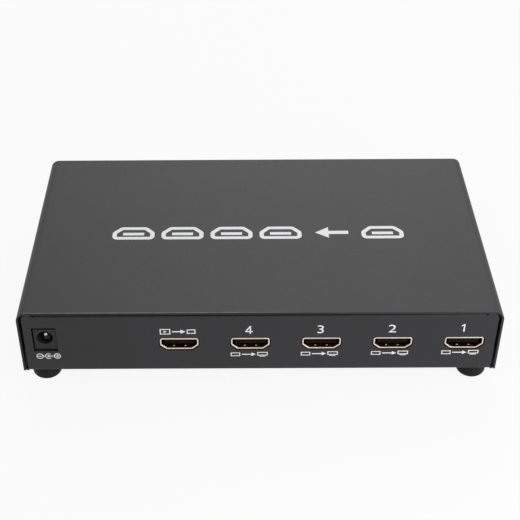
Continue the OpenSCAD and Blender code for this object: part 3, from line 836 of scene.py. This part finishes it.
def printed_digit(name, digit, height, place):
    """Digit of the built-in font in ink, centred over its place."""
    text = bpy.data.curves.new(name, "FONT")
    text.body = digit
    text.align_x = "CENTER"
    text.size = height / FONT_DIGIT_SHARE
    text.extrude = INK_T / 2
    draft = bpy.data.objects.new(name, text)
    bpy.context.scene.collection.objects.link(draft)
    bpy.context.view_layer.update()
    build = bmesh.new()
    build.from_mesh(draft.to_mesh())
    bpy.data.objects.remove(draft)
    bmesh.ops.remove_doubles(build, verts=build.verts, dist=INK_WELD)
    bmesh.ops.dissolve_limit(build, angle_limit=FLAT_ANGLE, verts=build.verts, edges=build.edges)
    bmesh.ops.translate(build, verts=build.verts, vec=(0, 0, INK_T / 2))
    bmesh.ops.scale(build, verts=build.verts, vec=(DIGIT_SPREAD, 1, 1))
    bmesh.ops.transform(build, matrix=place, verts=build.verts)
    new_piece(name, mesh_from(build, name))


def printed_number(name, number, height, place):
    """Number from 1 to 4 in ink."""
    drawn = {1: figure_one, 4: figure_four}
    if number in drawn:
        printed(name, drawn[number](height), place)
    else:
        printed_digit(name, str(number), height, place)


def panel_print():
    """Print on the connector panel: a number and a sign at each output, and signs for the inlets."""
    row_x = (middle("output_1_socket_shell").x + middle("output_4_socket_shell").x) / 2
    for number in range(1, OUTPUTS + 1):
        from_middle = (OUTPUTS + 1) / 2 - number
        rise = from_middle * PRINT_RISE
        digit_x = row_x + (DIGIT_X + from_middle * DIGIT_PITCH) * MM
        digit_z = UNDERSIDE_Z + (DIGIT_Z + rise) * MM
        printed_number(f"digit_{number}", number, DIGIT_H, on_panel(digit_x, digit_z))
        sign_x = row_x + (OUTPUT_SIGN_X + from_middle * OUTPUT_SIGN_PITCH) * MM
        sign_z = UNDERSIDE_Z + (OUTPUT_SIGN_Z + rise) * MM
        printed(f"sign_output_{number}", outgoing_sign(), on_panel(sign_x, sign_z))
    input_x = middle("input_socket_shell").x + INPUT_SIGN_X * MM
    printed("sign_input", incoming_sign(), on_panel(input_x, UNDERSIDE_Z + INPUT_SIGN_Z * MM))
    polarity_x = middle("power_jack_body").x + POLARITY_X * MM
    printed("sign_polarity", polarity_sign(), on_panel(polarity_x, UNDERSIDE_Z + POLARITY_Z * MM))


def top_print():
    """Print on the cover, in place of words."""
    printed("sign_one_to_four", one_to_four_sign(), on_top(TOP_SIGN_X * MM, TOP_SIGN_Y * MM))


def far_print():
    """Small numbers and a power sign over the lamps."""
    for number, lamp in enumerate(LAMPS[1:], 1):
        at = middle(lamp)
        place = on_far_panel(at.x, at.z + LAMP_PRINT_UP * MM)
        printed_number(f"lamp_digit_{number}", number, LAMP_DIGIT_H, place)
    at = middle(LAMPS[0])
    printed("sign_power", power_sign(), on_far_panel(at.x, at.z + LAMP_PRINT_UP * MM))


# Stage


def seen_or_reflected(tree):
    """1 for what the camera sees directly, in a reflection or through glass, and 0 for other light."""
    path = tree.nodes.new("ShaderNodeLightPath")
    rays = ("Is Camera Ray", "Is Glossy Ray", "Is Transmission Ray")
    return combined(tree, "MAXIMUM", [path.outputs[ray] for ray in rays])


def floor():
    """Pale floor: it takes the object's shadow, and reads as white where it is lit."""
    w = FLOOR_HALF_W
    mesh = bpy.data.meshes.new("floor")
    mesh.from_pydata([(-w, -w, 0), (w, -w, 0), (w, w, 0), (-w, w, 0)], [], [(0, 1, 2, 3)])
    plane = bpy.data.objects.new("floor", mesh)
    bpy.context.scene.collection.objects.link(plane)
    material, tree, shader = new_finish("floor", roughness=0.9, specular=0.0)
    shader.inputs["Base Color"].default_value = (*FLOOR_COLOUR, 1)
    glow = tree.nodes.new("ShaderNodeEmission")
    glow.inputs["Strength"].default_value = 1
    share = tree.nodes.new("ShaderNodeMath")
    share.operation = "MULTIPLY"
    share.inputs[1].default_value = FLOOR_GLOW
    mix = tree.nodes.new("ShaderNodeMixShader")
    tree.links.new(seen_or_reflected(tree), share.inputs[0])
    tree.links.new(share.outputs["Value"], mix.inputs["Fac"])
    tree.links.new(shader.outputs["BSDF"], mix.inputs[1])
    tree.links.new(glow.outputs["Emission"], mix.inputs[2])
    tree.links.new(mix.outputs["Shader"], tree.nodes["Material Output"].inputs["Surface"])
    mesh.materials.append(material)


def world():
    """Even soft light, with white behind the object."""
    sky = bpy.data.worlds.new("studio")
    bpy.context.scene.world = sky
    sky.use_nodes = True
    tree = sky.node_tree
    light = tree.nodes["Background"]
    light.inputs["Color"].default_value = (1, 1, 1, 1)
    light.inputs["Strength"].default_value = EVEN_LIGHT
    white = tree.nodes.new("ShaderNodeBackground")
    white.inputs["Color"].default_value = (1, 1, 1, 1)
    white.inputs["Strength"].default_value = 1
    mix = tree.nodes.new("ShaderNodeMixShader")
    tree.links.new(seen_or_reflected(tree), mix.inputs["Fac"])
    tree.links.new(light.outputs["Background"], mix.inputs[1])
    tree.links.new(white.outputs["Background"], mix.inputs[2])
    tree.links.new(mix.outputs["Shader"], tree.nodes["World Output"].inputs["Surface"])


def soft_light(name, at, aim, size, power):
    """Square soft light, in metres and watts, that points at a place."""
    data = bpy.data.lights.new(name, "AREA")
    data.size = size
    data.energy = power
    lamp = bpy.data.objects.new(name, data)
    bpy.context.scene.collection.objects.link(lamp)
    lamp.location = at
    lamp.rotation_euler = (Vector(aim) - Vector(at)).to_track_quat("-Z", "Y").to_euler()


def lights():
    """A large light behind the object, a near one on the right and a weak one on the left."""
    soft_light("back", at=(0.15, 1.0, 0.85), aim=(0, 0, 0.03), size=0.9, power=5)
    soft_light("front_right", at=(0.36, -0.33, 0.2), aim=(0.09, -0.05, 0.02), size=0.3, power=1.35)
    soft_light("front_left", at=(-0.6, -0.7, 0.9), aim=(0, 0, 0.02), size=0.5, power=1.2)


def camera():
    """Camera at the photograph's viewing angle."""
    data = bpy.data.cameras.new("camera")
    data.sensor_width = SENSOR_WIDTH
    data.lens = CAMERA_LENS
    data.shift_x = CAMERA_SHIFT
    data.clip_start = 0.01
    eye = bpy.data.objects.new("camera", data)
    bpy.context.scene.collection.objects.link(eye)
    eye.location = Vector(CAMERA_AT) * MM + Vector((0, 0, UNDERSIDE_Z))
    eye.rotation_euler = [math.radians(a) for a in CAMERA_TURN]
    bpy.context.scene.camera = eye


camera()
dress_solids()
casing()
paint_beads()
feet()
sockets()
jack()
panel_print()
top_print()
far_print()
floor()
world()
lights()
bpy.context.scene.view_settings.view_transform = "Standard"
